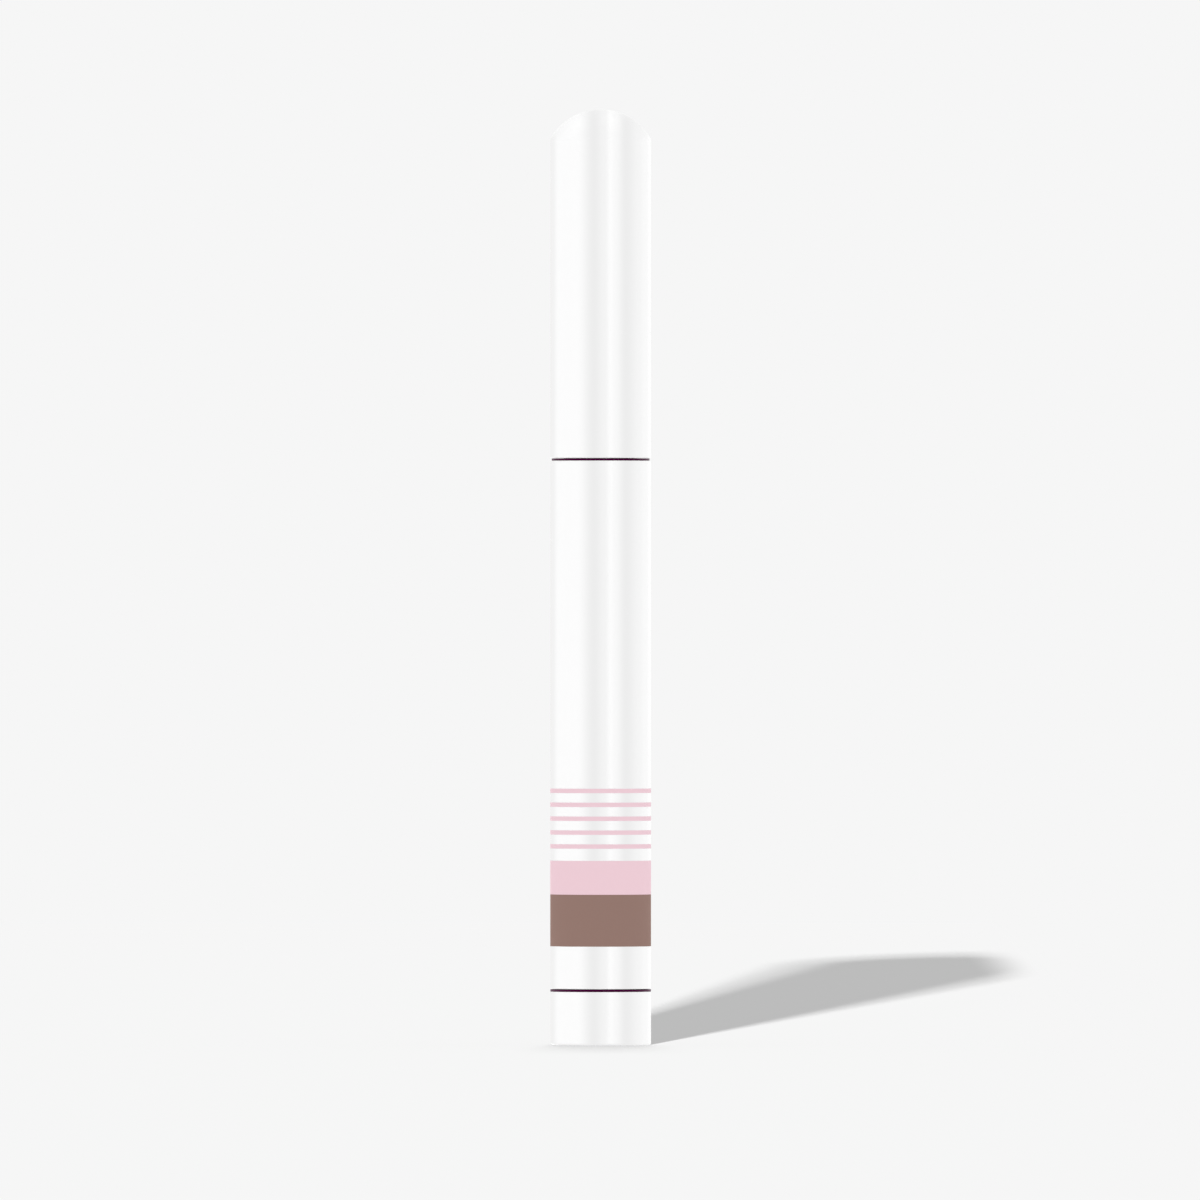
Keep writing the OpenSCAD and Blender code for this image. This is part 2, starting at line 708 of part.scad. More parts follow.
// Bush that carries the sleeve in the barrel's lower end.
module bearing_bush()
    color(natural)
        drive_piece(shaft_r + run_gap, bush_z0, bush_z1);

module lower_trim_ring()
    color(plum)
        ring(shaft_r + press_gap, pen_r, knob_top, knob_top + ring_h);

// Knob: the turning foot of the pen, hollowed below, with ribs in its bore for the sleeve's slots.
module knob()
    color(gloss_white)
        difference() {
            rotate_extrude()
                polygon(concat([[0, knob_recess_h], [knob_recess_r, knob_recess_h], [knob_recess_r, 0]],
                    arc(pen_r - knob_edge_r, knob_edge_r, knob_edge_r, -90, 0, arc_steps),
                    [[pen_r, knob_top - edge_break], [pen_r - edge_break, knob_top], [0, knob_top]]));
            translate([0, 0, sleeve_z0 - press_gap])
                linear_extrude(height = knob_top - sleeve_z0 + over)
                    foot_outline(press_gap);
        }

cap_shell();
cap_liner();
cap_seal();
upper_trim_ring();
barrel();
brown_print_band();
pink_print_bands();
nozzle();
nozzle_seal_ring();
tuft_retainer();
feed_tube();
brush_tuft();
piston();
piston_seal_ring();
lead_screw();
drive_nut();
ratchet_ring();
click_spring();
drive_sleeve();
bearing_bush();
lower_trim_ring();
knob();
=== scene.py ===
# %% [markdown]
# # A twist-up oil pen, dressed for its picture
#
# The pen is already built as a mechanism. This lesson dresses it: smooth turned surfaces
# for what is seen, a finish for each plastic, ink, rubber and bristle, and a pale studio round it.
# The first cell clears the start-up scene and loads the imported model. Its pieces stay where they are,
# in metres, with Z up the pen's axis and the origin at the centre of its base.

# %% Load the imported pen
import json

import bpy
import numpy as np
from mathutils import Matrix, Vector

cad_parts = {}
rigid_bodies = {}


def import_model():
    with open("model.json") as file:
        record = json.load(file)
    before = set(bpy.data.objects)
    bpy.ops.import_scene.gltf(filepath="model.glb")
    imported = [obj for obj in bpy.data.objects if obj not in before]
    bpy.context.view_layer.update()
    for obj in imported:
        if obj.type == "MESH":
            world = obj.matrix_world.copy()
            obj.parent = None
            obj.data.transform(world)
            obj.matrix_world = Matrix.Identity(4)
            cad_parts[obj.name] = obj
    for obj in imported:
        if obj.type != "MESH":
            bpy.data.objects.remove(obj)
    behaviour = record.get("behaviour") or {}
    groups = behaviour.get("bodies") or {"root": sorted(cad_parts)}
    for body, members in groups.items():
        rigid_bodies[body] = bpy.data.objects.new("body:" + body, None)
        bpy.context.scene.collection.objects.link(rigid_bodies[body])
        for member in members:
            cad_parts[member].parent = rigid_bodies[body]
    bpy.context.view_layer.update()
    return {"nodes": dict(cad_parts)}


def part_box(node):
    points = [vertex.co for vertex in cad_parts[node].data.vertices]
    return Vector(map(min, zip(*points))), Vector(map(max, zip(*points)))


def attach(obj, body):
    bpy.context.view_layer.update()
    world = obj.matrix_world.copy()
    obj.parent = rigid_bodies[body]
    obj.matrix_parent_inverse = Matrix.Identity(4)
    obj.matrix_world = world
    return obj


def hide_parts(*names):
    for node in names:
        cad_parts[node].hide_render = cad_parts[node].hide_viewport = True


for leftover in list(bpy.data.objects):
    bpy.data.objects.remove(leftover)

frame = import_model()
print("pieces in the packed pen:", len(frame["nodes"]))

# %% [markdown]
# ## Camera
#
# The photograph is taken almost level, from far off: the pen's sides stay upright, and both dark rings
# and every stripe are straight lines. A long lens five metres away does the same. It stands 7 cm above
# the floor, so that the shadow on the floor still shows. The frame's height at the pen follows from
# the pen's own height: 130 mm fill 935 of 1200 pixels.

# %% Camera
MM = 0.001
CAMERA_AWAY = 5.0
CAMERA_HEIGHT = 0.07
FRAME_PIXELS = 1200
PIXEL = 0.13902 * MM
FRAME_HEIGHT = FRAME_PIXELS * PIXEL
AIM = Vector((-0.09 * MM, 0, 61.82 * MM))
SENSOR = 36
SIGHT_END = 100


def placed(name, data):
    """A new object that holds the data, in the scene."""
    made = bpy.data.objects.new(name, data)
    bpy.context.scene.collection.objects.link(made)
    return made


def place_camera():
    """A camera straight in front of the pen, whose frame is FRAME_HEIGHT tall at the pen's axis."""
    data = bpy.data.cameras.new("camera")
    data.sensor_width = SENSOR
    camera = placed("camera", data)
    camera.location = (AIM.x, -CAMERA_AWAY, CAMERA_HEIGHT)
    sight = AIM - camera.location
    camera.rotation_euler = sight.to_track_quat("-Z", "Y").to_euler()
    data.lens = SENSOR * sight.length / FRAME_HEIGHT
    data.clip_end = SIGHT_END
    bpy.context.scene.camera = camera
    return camera


camera = place_camera()
print("lens:", round(camera.data.lens, 1), "mm")

# %% [markdown]
# ## Small helpers for shader nodes
#
# Every finish is a tree of shader nodes. A few helpers keep the trees short: they add a node and fill
# its settings and sockets, do one sum, make a soft step, and start or place a shader group, which is
# a box of nodes with named inputs and outputs that several finishes share.


# %% Node helpers
def add(tree, kind, sockets=None, **settings):
    """Add a node of a kind, with its settings, and fill sockets: a value, or an output to link from."""
    made = tree.nodes.new(kind)
    for name, value in settings.items():
        setattr(made, name, value)
    for key, value in (sockets or {}).items():
        if isinstance(value, bpy.types.NodeSocket):
            tree.links.new(value, made.inputs[key])
        else:
            made.inputs[key].default_value = value
    return made


def calc(tree, operation, *terms, clamp=False):
    """One Math node: an operation on its terms. Gives its output."""
    made = add(tree, "ShaderNodeMath", dict(enumerate(terms)), operation=operation, use_clamp=clamp)
    return made.outputs[0]


def soft_step(tree, value, start, end, low=0.0, high=1.0):
    """A soft step of a value from low at start to high at end."""
    return add(tree, "ShaderNodeMapRange",
               {"Value": value, "From Min": start, "From Max": end, "To Min": low, "To Max": high},
               interpolation_type="SMOOTHSTEP").outputs[0]


def new_group(name, inputs, outputs):
    """A shader group of numbers: its inputs as name: default, and its outputs by name."""
    group = bpy.data.node_groups.new(name, "ShaderNodeTree")
    new_socket, number = group.interface.new_socket, "NodeSocketFloat"
    for label, value in inputs.items():
        new_socket(name=label, in_out="INPUT", socket_type=number).default_value = value
    for label in outputs:
        new_socket(name=label, in_out="OUTPUT", socket_type=number)
    return group, add(group, "NodeGroupInput").outputs, add(group, "NodeGroupOutput").inputs


def use_group(tree, group, **values):
    """Place a shader group in a finish with its own values."""
    made = add(tree, "ShaderNodeGroup", node_tree=group)
    for label, value in values.items():
        made.inputs[label].default_value = value
    return made.outputs


# %% [markdown]
# ## Shared effects
#
# A moulded plastic is never perfectly even. Its skin has a slow waviness where the plastic shrank in
# the mould, and years or minutes of handling leave faint hairlines and patches that are a little
# duller. Printed ink lies in fine grains. Each effect is a group that gives a height or a mask, so
# each finish can use it at its own strength. All of them read Object coordinates, in metres, so they
# stay on the piece when it moves.


# %% Group: mould waviness
def make_waviness():
    """Height of a slow ripple along a moulded piece, from soft noise of the given wavelength."""
    group, given, out = new_group(
        "mould waviness", {"Wavelength": 0.006, "Stretch": 4.0}, ["Height"])
    place = add(group, "ShaderNodeTexCoord").outputs["Object"]
    squeeze = add(group, "ShaderNodeCombineXYZ", {0: 1.0, 1: 1.0})
    group.links.new(calc(group, "DIVIDE", 1.0, given["Stretch"]), squeeze.inputs[2])
    drawn = add(group, "ShaderNodeVectorMath", {0: place, 1: squeeze.outputs[0]}, operation="MULTIPLY")
    scale = calc(group, "DIVIDE", 1.0, given["Wavelength"])
    ripple = add(group, "ShaderNodeTexNoise",
                 {"Vector": drawn.outputs[0], "Scale": scale, "Detail": 1.0, "Roughness": 0.3})
    group.links.new(ripple.outputs[0], out["Height"])
    return group


# %% Group: handling marks
PATCH_START, PATCH_END = 0.42, 0.72
HAIRLINE_LAYS = [((0.35, 0.1, 0.0), (1, 1, 0.04)), ((0.0, 0.5, 0.6), (0.05, 1, 1))]
HAIRLINE_GAIN, HAIRLINE_CUT = 9.0, -5.9


def make_handling():
    """Mask of handling: soft dull patches, and hairlines that run mostly round and along the piece."""
    group, given, out = new_group(
        "handling marks", {"Patch": 0.012, "Hairline": 0.0004}, ["Patches", "Hairlines"])
    place = add(group, "ShaderNodeTexCoord").outputs["Object"]
    patch = add(group, "ShaderNodeTexNoise",
                {"Vector": place, "Scale": calc(group, "DIVIDE", 1.0, given["Patch"]),
                 "Detail": 3.0, "Roughness": 0.6})
    soft = soft_step(group, patch.outputs[0], PATCH_START, PATCH_END)
    lines = []
    for turn, draw in HAIRLINE_LAYS:
        laid = add(group, "ShaderNodeMapping", {"Vector": place, "Rotation": turn, "Scale": draw})
        streak = add(group, "ShaderNodeTexNoise",
                     {"Vector": laid.outputs[0], "Scale": calc(group, "DIVIDE", 1.0, given["Hairline"]),
                      "Detail": 2.0, "Roughness": 0.7})
        lines.append(calc(group, "MULTIPLY_ADD", streak.outputs[0], HAIRLINE_GAIN, HAIRLINE_CUT,
                          clamp=True))
    group.links.new(soft, out["Patches"])
    group.links.new(calc(group, "MAXIMUM", *lines), out["Hairlines"])
    return group


# %% Group: fine grain
TONE_GAIN = 4.0


def make_grain():
    """Fine even grain of the given size, as a height and as a centred tone from -1 to 1."""
    group, given, out = new_group("fine grain", {"Size": 0.0002}, ["Height", "Tone"])
    place = add(group, "ShaderNodeTexCoord").outputs["Object"]
    dots = add(group, "ShaderNodeTexNoise",
               {"Vector": place, "Scale": calc(group, "DIVIDE", 1.0, given["Size"]), "Detail": 2.0})
    group.links.new(dots.outputs[0], out["Height"])
    group.links.new(calc(group, "MULTIPLY_ADD", dots.outputs[0], TONE_GAIN, -TONE_GAIN / 2),
                    out["Tone"])
    return group


waviness, handling, grain = make_waviness(), make_handling(), make_grain()
print("shared effects:", [group.name for group in (waviness, handling, grain)])

# %% [markdown]
# ## Finishes
#
# All the plastics share one recipe: a base colour that drifts very slightly, a roughness that rises
# in the dull patches and along the hairlines, and a bump from the mould's waviness and the grain.
# What differs is how strong each is. The recipe is one function, so that a finish is one line of
# numbers, and the shader itself stays in the material.


# %% The recipe for a finish
MICRON = 1e-6
GRAIN_TINT, PATCH_TINT, EVEN_TINT = 0.25, 0.3, 0.5
HAIRLINE_DEPTH = 0.1


def shade(color, factor):
    """A colour with each channel scaled by a factor."""
    return (*[min(channel * factor, 1.0) for channel in color], 1.0)


def make_finish(name, color, rough, rough_worn, drift=0.01, grain_size=0.0002, grain_depth=0.0,
                wave_depth=0.0, wave_length=0.006, ior=1.49, **fixed):
    """Principled material of one moulded or printed finish.

    Roughness runs from rough to rough_worn with the handling marks, the colour drifts by the share
    drift with the patches and the grain, and the bump adds waviness, grain and hairlines, in metres.
    """
    material = bpy.data.materials.new(name)
    material.use_nodes = True
    tree = material.node_tree
    shader = tree.nodes["Principled BSDF"]
    marks = use_group(tree, handling)
    grains = use_group(tree, grain, Size=grain_size)
    worn = calc(tree, "MAXIMUM", marks["Patches"], marks["Hairlines"])
    roughness = add(tree, "ShaderNodeMapRange",
                    {"Value": worn, "To Min": rough, "To Max": rough_worn})
    tree.links.new(roughness.outputs[0], shader.inputs["Roughness"])
    mottle = calc(tree, "MULTIPLY_ADD", grains["Tone"], GRAIN_TINT, EVEN_TINT)
    share = calc(tree, "MULTIPLY_ADD", marks["Patches"], PATCH_TINT, mottle, clamp=True)
    tint = add(tree, "ShaderNodeMix",
               {"Factor": share, "A": shade(color, 1 + drift), "B": shade(color, 1 - drift)},
               data_type="RGBA")
    tree.links.new(tint.outputs["Result"], shader.inputs["Base Color"])
    waves = use_group(tree, waviness, Wavelength=wave_length)
    height = calc(tree, "MULTIPLY", waves["Height"], wave_depth)
    height = calc(tree, "MULTIPLY_ADD", grains["Height"], grain_depth, height)
    groove = -HAIRLINE_DEPTH * rough_worn * MICRON
    height = calc(tree, "MULTIPLY_ADD", marks["Hairlines"], groove, height)
    bump = add(tree, "ShaderNodeBump", {"Height": height, "Distance": 1.0})
    tree.links.new(bump.outputs[0], shader.inputs["Normal"])
    shader.inputs["IOR"].default_value = ior
    for socket, value in fixed.items():
        shader.inputs[socket.replace("_", " ")].default_value = value
    return material


# %% The pen's finishes
gloss_white = make_finish("gloss white", (0.917, 0.917, 0.917), 0.09, 0.14, drift=0.004,
                          wave_depth=2.5e-6, wave_length=0.005, ior=1.5)
plum = make_finish("plum trim", (0.048, 0.001, 0.027), 0.4, 0.5, drift=0.05,
                   Specular_IOR_Level=0.1, Specular_Tint=(0.5, 0.06, 0.3, 1))
INK_GRAIN = {"grain_size": 0.00012, "grain_depth": 1.2e-6, "Specular_IOR_Level": 0.05}
brown_ink = make_finish("brown ink", (0.311, 0.198, 0.167), 0.7, 0.78, drift=0.02, **INK_GRAIN)
pink_ink = make_finish("pink ink", (0.915, 0.655, 0.722), 0.7, 0.78, drift=0.012, **INK_GRAIN)
natural = make_finish("natural plastic", (0.80, 0.81, 0.78), 0.28, 0.4, drift=0.02,
                      grain_depth=1.0e-6, wave_depth=2.0e-6)
acetal = make_finish("acetal", (0.72, 0.73, 0.73), 0.35, 0.45, drift=0.02, grain_depth=1.5e-6)
rubber = make_finish("seal rubber", (0.034, 0.034, 0.037), 0.55, 0.7, drift=0.08, grain_depth=2e-6)
print("finishes:", [material.name for material in bpy.data.materials])

# %% [markdown]
# ## Turned surfaces
#
# Nearly every piece of a pen is turned: a profile in radius and height, carried round the axis.
# Blender's own Screw modifier could do it, but on glossy white plastic the shading at each small
# rounded edge decides how real it looks. So the surface is worked out with numpy, and the exact
# normal of the profile is kept for every point. A profile runs with the piece on its left, so its
# outward normal is always on its right. Each corner carries its own rounding: a moulded edge is never
# sharp, and the thin line of light along it tells the eye how big the piece is.

# %% Profiles
ROUND = 192
BEND = 6
CRISP, FINE, SOFT = 0.04, 0.05, 0.1
TINY, NEVER_ZERO = 1e-6, 1e-15


def unit(vectors):
    """Each vector divided by its length."""
    return vectors / np.linalg.norm(vectors, axis=-1, keepdims=True)


def arc(centre, radius, start, end, steps, side=1):
    """Points on an arc from angle start to angle end, in degrees, and their normals.

    The normal is the direction from the arc's centre, or towards it where side is -1.
    """
    angle = np.radians(np.linspace(start, end, steps + 1))
    outward = np.stack([np.cos(angle), np.sin(angle)], 1)
    return np.array(centre) + radius * outward, side * outward


def rounded(corners, steps=BEND):
    """Profile through corners of radius, height and rounding, each turned into an arc but the ends.

    The arc touches both sides at rounding / tan(half the corner's angle), and its centre lies on the
    line that halves the corner, rounding / sin(half the angle) away. Its normal turns evenly from
    the right-hand normal of the side before to that of the side after.
    """
    corners, radii = np.split(np.asarray(corners, float), [2], axis=1)
    radii = radii[1:-1]
    back, ahead = unit(corners[:-2] - corners[1:-1]), unit(corners[2:] - corners[1:-1])
    half = np.arccos(np.clip((back * ahead).sum(1, keepdims=True), -1, 1)) / 2
    touch = (radii / np.tan(half))[:, 0]
    room = np.linalg.norm(np.diff(corners, axis=0), axis=1)
    spare = room - np.append(0, touch) - np.append(touch, 0)
    assert spare.min() > 0, f"side {spare.argmin()} is too short for its rounding"
    centre = corners[1:-1] + unit(back + ahead) * radii / np.sin(half)
    turn = np.arctan2(ahead[:, 0] * back[:, 1] - ahead[:, 1] * back[:, 0],
                      -(back * ahead).sum(1))[:, None]
    first = np.arctan2(back[:, 0], -back[:, 1])[:, None]
    angle = first + turn * np.linspace(0, 1, steps + 1)
    outward = np.stack([np.cos(angle), np.sin(angle)], -1)
    points = centre[:, None] + (np.sign(turn) * radii)[..., None] * outward
    return points.reshape(-1, 2), outward.reshape(-1, 2)


def ring_profile(corners, steps=BEND):
    """Closed profile through corners of radius, height and rounding."""
    return rounded([corners[-1], *corners, corners[0]], steps)


def joined(*parts):
    """One profile from several that follow each other."""
    return tuple(np.concatenate(arrays) for arrays in zip(*parts))


# %% Carry a profile round the axis
def turned(profile, angles=None, swell=None):
    """Points, normals and faces of a profile carried round the Z axis.

    A point at angle a of a profile point (r, z) is (r cos a, r sin a, z), with the profile's normal
    turned by the same angle. swell, one number for each profile point and angle, is added to r.
    A profile that starts and ends on the axis is closed there by a pole, any other one on itself.
    """
    points, normals = profile
    angles = np.linspace(0, 2 * np.pi, ROUND, endpoint=False) if angles is None else angles
    rows, columns = len(points), len(angles)
    radius = points[:, :1] + (0 if swell is None else swell)
    spot = np.stack([radius * np.cos(angles), radius * np.sin(angles),
                     np.broadcast_to(points[:, 1:], (rows, columns))], -1)
    facing = np.stack([normals[:, :1] * np.cos(angles), normals[:, :1] * np.sin(angles),
                       np.broadcast_to(normals[:, 1:], (rows, columns))], -1)
    if swell is not None:
        along = np.roll(spot, -1, 0) - np.roll(spot, 1, 0)
        across = np.roll(spot, -1, 1) - np.roll(spot, 1, 1)
        bent = np.abs(swell) > 0
        bent |= np.roll(bent, 1, 1) | np.roll(bent, -1, 1)
        facing[bent] = unit(np.cross(across, along)[bent] + NEVER_ZERO)
    number = np.arange(rows * columns).reshape(rows, columns)
    pole = points[0, 0] < TINY
    if pole:
        number[0], number[-1] = number[0, 0], number[-1, 0]
    else:
        number = np.vstack([number, number[:1]])
    after = np.roll(number, -1, 1)
    quads = np.stack([number[:-1], after[:-1], after[1:], number[1:]], -1)
    faces = quads[1:-1] if pole else quads
    faces = faces.reshape(-1, 4).tolist()
    if pole:
        faces += quads[0][:, [0, 2, 3]].tolist() + quads[-1][:, [0, 1, 2]].tolist()
    return spot.reshape(-1, 3), facing.reshape(-1, 3), faces


# %% [markdown]
# A helper turns points and faces into a piece: it drops points that no face uses, scales
# millimetres to metres, sets the normals, hangs the piece on the body that it rides on, and hides
# the imported solid that it stands for.


# %% Make a piece
def make_piece(name, body, node, material, surface):
    """A piece from points, normals and faces in millimetres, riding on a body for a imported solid."""
    spots, facing, faces = surface
    used, flat = np.unique(np.concatenate([np.ravel(face) for face in faces]), return_inverse=True)
    lengths = np.array([len(face) for face in faces])
    pieces = np.split(flat, np.cumsum(lengths)[:-1])
    mesh = bpy.data.meshes.new(name)
    mesh.from_pydata((spots[used] * MM).tolist(), [], [piece.tolist() for piece in pieces])
    mesh.shade_smooth()
    mesh.normals_split_custom_set_from_vertices(facing[used].tolist())
    mesh.materials.append(material)
    piece = placed(name, mesh)
    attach(piece, body)
    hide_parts(node)
    print(f"{name}: {len(mesh.polygons)} faces, broken: {mesh.validate()}")
    return piece


def levels(node):
    """Outer radius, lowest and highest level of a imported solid, in millimetres."""
    low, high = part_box(node)
    return high.x / MM, low.z / MM, high.z / MM


# %% [markdown]
# ## The outer cap
#
# The cap is one thin moulding: a straight side that ends in a shallow dome, with a small rounding
# between them and a wall of just over a millimetre. It is seen from outside in the picture and from
# below once it is pulled off, so both faces of the wall are drawn. The profile starts under the
# dome's middle, runs down the inside, round the mouth, up the side and back over the dome.

# %% Outer cap
WALL = 1.2
MOUTH_WALL = 1.0
DOME_RISE = 4.1
SHOULDER_R = 1.0
INNER_DOME_R, STEP_R = 0.3, 0.08
UNDER_TURN = 6
EDGE_R = 0.12
SNAP_Z, SNAP_DEPTH, SNAP_H = 86.78, 0.14, 0.64
STEP_Z = 91.58


def cap_profile():
    """The cap's wall: two domes that share a centre, joined by the inside, the mouth and the side."""
    radius, foot, top = levels("cap_shell")
    dome_r = (radius**2 + DOME_RISE**2) / (2 * DOME_RISE)
    centre = top - dome_r
    inside, mouth = radius - WALL, radius - MOUTH_WALL
    shoulder_z = centre + np.sqrt((dome_r - SHOULDER_R)**2 - (radius - SHOULDER_R)**2)
    shoulder_end = np.degrees(np.arctan2(shoulder_z - centre, radius - SHOULDER_R))
    inner_end = np.degrees(np.arccos(inside / (dome_r - WALL))) + UNDER_TURN
    under = arc((0, centre), dome_r - WALL, 90, inner_end, 4 * BEND, side=-1)
    last = under[0][-1]
    drop = (inside - last[0]) / np.tan(np.radians(inner_end))
    side = rounded([
        (*last, 0), (inside, last[1] - drop, INNER_DOME_R),
        (inside, STEP_Z, CRISP), (mouth, STEP_Z, STEP_R),
        (mouth, SNAP_Z + SNAP_H / 2, FINE), (mouth + SNAP_DEPTH, SNAP_Z + SNAP_H / 4, CRISP),
        (mouth + SNAP_DEPTH, SNAP_Z - SNAP_H / 4, CRISP), (mouth, SNAP_Z - SNAP_H / 2, FINE),
        (mouth, foot, EDGE_R), (radius, foot, EDGE_R), (radius, shoulder_z, 0)])
    shoulder = arc((radius - SHOULDER_R, shoulder_z), SHOULDER_R, 0, shoulder_end, 2 * BEND)
    over = arc((0, centre), dome_r, shoulder_end, 90, 5 * BEND)
    return joined(under, side, shoulder, tuple(half[1:] for half in over))


make_piece("white_cap", "pull_cap", "cap_shell", gloss_white,
           turned(cap_profile()))

# %% [markdown]
# ## Trim rings
#
# Two thin dark rings mark where the pen comes apart: one that the cap closes against and one between
# the barrel and the knob. They are plain washers with broken edges. Their dark line in the picture
# is most of what draws the pen, so their edges are rounded by only a few hundredths.

# %% Trim rings
NECK_R, SHAFT_R = 5.18, 4.92


def make_trim_ring(name, body, node, bore):
    """A washer between the node's levels, from the bore's radius to the node's own."""
    radius, low, high = levels(node)
    profile = ring_profile([(bore, low, CRISP), (radius, low, CRISP), (radius, high, CRISP),
                            (bore, high, CRISP)])
    make_piece(name, body, node, plum, turned(profile))


make_trim_ring("upper_dark_ring", "pen_barrel", "upper_trim_ring", NECK_R)
make_trim_ring("lower_dark_ring", "turning_foot", "lower_trim_ring", SHAFT_R)

# %% [markdown]
# ## Barrel
#
# The barrel is one moulding, white through and through: the side with its print, the neck that the
# cap grips, the oil chamber and the drive chamber with its key slots. The profile runs up the side,
# dipping a twentieth of a millimetre under each printed film, over the shoulder, up the neck with its
# low snap bead, and back down the bore. The key slots are a swell of the bore at three places, so
# the angles of the grid crowd together at the slots' sides.

# %% Barrel
INK = 0.05
INK_EDGE = 0.012
BROWN = levels("brown_print_band")[1:]
PINK_H, STRIPES, STRIPE_H, STRIPE_STEP = 4.7, 5, 0.6, 1.93
LAST_STRIPE = levels("pink_print_bands")[2] - STRIPE_H
FILMS = [(BROWN[1], BROWN[1] + PINK_H)]
FILMS += [(LAST_STRIPE - STRIPE_STEP * i, LAST_STRIPE - STRIPE_STEP * i + STRIPE_H)
          for i in reversed(range(STRIPES))]
DRIVE_R, OIL_R, NECK_BORE = 5.8, 5.6, 4.16
KEY_DEPTH, KEY_W, KEYS = 0.4, 1.2, 3
LEDGE_Z, FUNNEL_Z, FUNNEL_H = 39.94, 79.2, 1.5
LEDGE_R, INNER_R, FUNNEL_R, LIP_R = 0.03, 0.2, 0.3, 0.25
NECK_INSET = 0.02
BEAD_RISE, BEAD_H = 0.07, 0.6
SEAM_Z = levels("upper_trim_ring")[1]
LOW_SEAM_R = 0.06
NOTCH_RAMP, NOTCH_ROOM = 0.0015, 4
SLACK = 0.01


def notch_angles(count, half_width):
    """Angles for a grid with notches, and whether each angle is in a notch, as 1 or 0.

    The angles are even steps, and a close pair, NOTCH_RAMP to either side, at each side of a notch.
    """
    middles = 2 * np.pi / count * np.arange(count)
    sides = (middles[:, None] + half_width * np.array([-1, 1])).ravel()
    pairs = (sides[:, None] + NOTCH_RAMP * np.array([-1, 1])).ravel() % (2 * np.pi)
    even = np.linspace(0, 2 * np.pi, ROUND, endpoint=False)
    apart = np.abs((even[:, None] - pairs + np.pi) % (2 * np.pi) - np.pi).min(1)
    angles = np.sort(np.concatenate([even[apart > NOTCH_ROOM * NOTCH_RAMP], pairs]))
    from_middle = np.abs((angles[:, None] - middles + np.pi) % (2 * np.pi) - np.pi).min(1)
    return angles, (from_middle < half_width).astype(float)


def barrel_profile():
    """Up the printed side, over the shoulder and the neck, and down the oil and drive chambers."""
    radius, foot, top = levels("barrel")
    neck = NECK_R - NECK_INSET
    bead_z = (SEAM_Z + top) / 2
    side = []
    for low, high in [(BROWN[0], FILMS[0][1]), *FILMS[1:]]:
        side += [(radius, low, INK_EDGE), (radius - INK, low, INK_EDGE),
                 (radius - INK, high, INK_EDGE), (radius, high, INK_EDGE)]
    return ring_profile([
        (DRIVE_R, foot, EDGE_R), (radius, foot, LOW_SEAM_R), *side,
        (radius, SEAM_Z, EDGE_R), (neck, SEAM_Z, SOFT),
        (neck, bead_z - BEAD_H / 2, SOFT), (neck + BEAD_RISE, bead_z - BEAD_H / 4, SOFT),
        (neck + BEAD_RISE, bead_z + BEAD_H / 4, SOFT), (neck, bead_z + BEAD_H / 2, SOFT),
        (neck, top, LIP_R), (NECK_BORE, top, INNER_R), (NECK_BORE, FUNNEL_Z + FUNNEL_H, INNER_R),
        (OIL_R, FUNNEL_Z, FUNNEL_R), (OIL_R, LEDGE_Z, FINE), (DRIVE_R, LEDGE_Z, LEDGE_R)])


def barrel_surface():
    """The barrel's profile carried round, with its drive chamber swelled out into the key slots."""
    points, normals = barrel_profile()
    angles, in_slot = notch_angles(KEYS, np.arcsin(KEY_W / 2 / DRIVE_R))
    chamber = (points[:, 0] < DRIVE_R + EDGE_R + SLACK) & (points[:, 1] < LEDGE_Z + SLACK)
    chamber &= points[:, 0] > (OIL_R + DRIVE_R) / 2
    return turned((points, normals), angles, KEY_DEPTH * chamber[:, None] * in_slot)


make_piece("white_barrel", "pen_barrel", "barrel", gloss_white, barrel_surface())

# %% [markdown]
# ## Printed bands
#
# The bands are screen printed: a film of ink a few hundredths thick that wraps the barrel, flat and
# without gloss. Real ink ends in a soft edge and stands a hair proud of the plastic, which is what
# catches the light along it. The wide bands touch, brown under pink, and five stripes follow above.

# %% Printed bands
INK_PROUD = 0.006
FILM_FOOT_R, FILM_EDGE_R, FILM_BEND = 0.006, 0.02, 4


def film_profile(low, high):
    """Section of one film of ink, a hair proud of the barrel's side."""
    radius = levels("barrel")[0]
    inner, outer = radius - INK, radius + INK_PROUD
    return ring_profile([(inner, low, FILM_FOOT_R), (outer, low, FILM_EDGE_R),
                         (outer, high, FILM_EDGE_R), (inner, high, FILM_FOOT_R)], steps=FILM_BEND)


def stacked(surfaces):
    """Several surfaces as one, with each one's faces numbered on from the points before it."""
    starts = np.cumsum([0] + [len(surface[0]) for surface in surfaces])
    faces = [[corner + start for corner in face]
             for surface, start in zip(surfaces, starts) for face in surface[2]]
    return (np.concatenate([surface[0] for surface in surfaces]),
            np.concatenate([surface[1] for surface in surfaces]), faces)


make_piece("brown_band", "pen_barrel", "brown_print_band", brown_ink,
           turned(film_profile(*BROWN)))
make_piece("pink_band_and_stripes", "pen_barrel", "pink_print_bands", pink_ink,
           stacked([turned(film_profile(*film)) for film in FILMS]))

# %% [markdown]
# ## Knob
#
# The knob is the pen's foot. It is solid white, hollowed a little below so that it stands on a flat
# ring, with a small rounding at the edge. In the hollow is the gate mark, the little button where
# the plastic came into the mould. Inside, six ribs fit the drive sleeve's slots, so the bore's radius
# shrinks at six places.

# %% Knob
HOLLOW_R, HOLLOW_Z = 4.6, 0.4
FLOOR_Z = 1.4
FOOT_R, RIM_R = 0.2, 0.08
GATE_R, GATE_H = 0.7, 0.12
RIBS, RIB_W, RIB_DEPTH = 6, 0.96, 0.5


